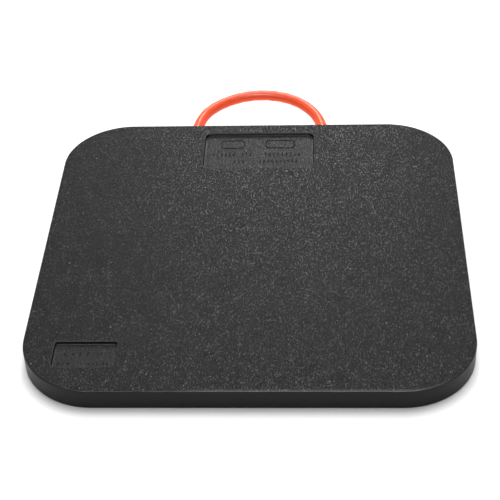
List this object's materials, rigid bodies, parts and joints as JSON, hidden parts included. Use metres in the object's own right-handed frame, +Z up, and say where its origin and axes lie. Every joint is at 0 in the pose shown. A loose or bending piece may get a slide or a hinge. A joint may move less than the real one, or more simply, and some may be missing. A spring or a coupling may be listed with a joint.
{
  "type": "ground support pad",
  "caption": "Square rounded plastic ground pad with two shallow pockets in its top face and a bent orange cord handle pinned into its back edge.",
  "frame": {"origin": "centre of the plate's underside, where the pad rests on the ground", "axes": "+Z up, out of the load face; +Y towards the edge with the handle; +X to the right when the handle is at the far side"},
  "size_m": [0.508, 0.6082, 0.0254],
  "materials": {
    "plate": "black polyethylene with a fine pebbled, speckled load face and smooth satin edges",
    "cord_jacket": "glossy safety-orange polyurethane jacket",
    "cord_core": "off-white laid strands of polyester yarn",
    "pin_steel": "dark plain spring steel"
  },
  "bodies": {
    "pad": {"plate": "plate", "cord_jacket_end_left": "cord_jacket", "cord_jacket_end_right": "cord_jacket", "cord_core_end_left": "cord_core", "cord_core_end_right": "cord_core", "retaining_pin_left": "pin_steel", "retaining_pin_right": "pin_steel"},
    "handle": {"cord_jacket_loop": "cord_jacket", "cord_core_loop": "cord_core"}
  },
  "joints": [
    {"name": "handle_bend", "type": "hinge", "parent": "pad", "child": "handle", "pos_m": [0, 0.2683, 0.0127], "axis": [1, 0, 0], "range_deg": [-3.5, 90], "stiffness_Nm_per_rad": 1.5}
  ]
}
